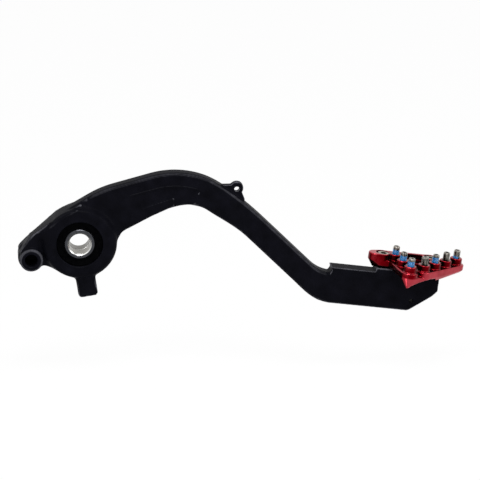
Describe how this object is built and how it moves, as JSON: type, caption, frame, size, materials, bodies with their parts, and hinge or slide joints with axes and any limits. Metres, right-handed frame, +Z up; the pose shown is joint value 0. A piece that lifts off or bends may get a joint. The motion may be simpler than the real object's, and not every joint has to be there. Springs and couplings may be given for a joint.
{
  "type": "rear brake pedal",
  "caption": "Rear brake pedal for an off-road motorcycle: black forged arm on a sealed needle bearing pivot, with a red bolt-on tip set with steel grip studs.",
  "frame": {"origin": "middle of the pivot bore, on the middle plane of the arm at its hub", "axes": "+X forwards to the tip, +Y inboard along the pivot, +Z up"},
  "size_m": [0.3159, 0.0546, 0.104],
  "materials": {
    "arm_black": "satin black anodised forging",
    "collar_steel": "turned and zinc plated steel",
    "seal_rubber": "moulded nitrile rubber",
    "bearing_steel": "ground bearing steel",
    "tip_red": "bright red anodised, machined",
    "screw_steel": "zinc plated socket head screws",
    "stud_steel": "plated set screws with blue thread lock"
  },
  "bodies": {
    "collar": {"pivot_collar": "collar_steel"},
    "pedal": {"arm": "arm_black", "outer_seal": "seal_rubber", "inner_seal": "seal_rubber", "bearing_cup": "bearing_steel", "brake_tip": "tip_red", "rear_tip_screw": "screw_steel", "front_tip_screw": "screw_steel", "stud_1": "stud_steel", "stud_2": "stud_steel", "stud_3": "stud_steel", "stud_4": "stud_steel", "stud_5": "stud_steel", "stud_6": "stud_steel", "stud_7": "stud_steel"},
    "rollers": {"bearing_cage": "bearing_steel", "bearing_needles": "bearing_steel"}
  },
  "joints": [
    {"name": "pedal_pivot", "type": "hinge", "parent": "collar", "child": "pedal", "pos_m": [0, 0, 0], "axis": [0, 1, 0], "range_deg": [-14, 0]},
    {"name": "roller_orbit", "type": "hinge", "parent": "collar", "child": "rollers", "pos_m": [0, 0, 0], "axis": [0, 1, 0], "range_deg": [-8, 0]}
  ],
  "couplings": [
    {"joint": "roller_orbit", "follows": "pedal_pivot", "ratio": 0.5447}
  ]
}
